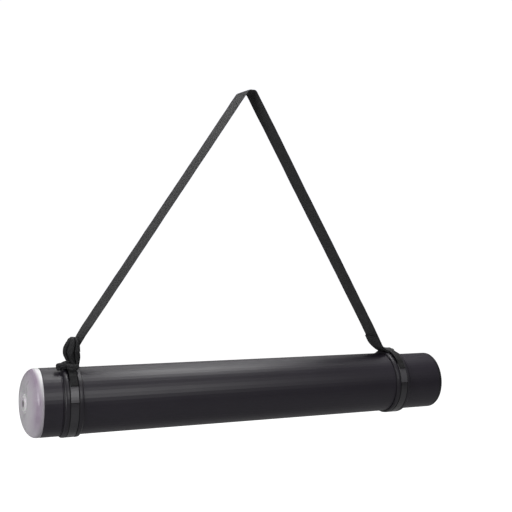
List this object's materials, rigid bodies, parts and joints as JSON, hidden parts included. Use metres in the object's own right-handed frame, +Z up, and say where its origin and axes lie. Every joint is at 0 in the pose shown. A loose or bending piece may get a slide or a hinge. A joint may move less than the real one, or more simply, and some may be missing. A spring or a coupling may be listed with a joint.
{
  "type": "telescopic drawing tube",
  "caption": "Round plastic tube for rolled drawings with a telescopic extension, push-in end caps, ridged strap collars and a woven carrying strap.",
  "frame": {"origin": "under the peak of the strap, where a hook or a hand carries it", "axes": "+X along the tube from the capped mouth towards the telescopic end, +Y away from the near side, +Z up"},
  "size_m": [0.6523, 0.099, 0.4952],
  "materials": {
    "tube": "satin",
    "guide_ring": "satin",
    "front_cap": "translucent satin",
    "rear_cap": "satin",
    "collar": "semi-gloss",
    "band": "gloss",
    "bridge": "matte woven",
    "strap": "matte woven webbing"
  },
  "bodies": {
    "strap": {"strap": "strap", "strap_loop": "strap", "strap_knot": "strap", "strap_tail": "strap"},
    "tube": {"outer_tube": "tube", "front_collar": "collar", "rear_collar": "collar", "front_band": "band", "rear_band": "band", "front_tab_near": "band", "front_tab_far": "band", "rear_tab_near": "band", "rear_tab_far": "band", "front_bridge": "bridge", "rear_bridge": "bridge"},
    "extension": {"inner_tube": "tube", "guide_ring": "guide_ring"},
    "front_cap": {"front_cap": "front_cap"},
    "rear_cap": {"rear_cap": "rear_cap"}
  },
  "joints": [
    {"name": "tube_roll", "type": "hinge", "parent": "strap", "child": "tube", "pos_m": [-0.006, 0, -0.445], "axis": [1, 0, 0], "range_deg": [-18, 18]},
    {"name": "extension_slide", "type": "slide", "parent": "tube", "child": "extension", "axis": [1, 0, 0], "range_m": [0, 0.45]},
    {"name": "front_cap_pull", "type": "slide", "parent": "tube", "child": "front_cap", "axis": [-1, 0, 0], "range_m": [0, 0.06]},
    {"name": "rear_cap_pull", "type": "slide", "parent": "extension", "child": "rear_cap", "axis": [1, 0, 0], "range_m": [0, 0.06]}
  ]
}
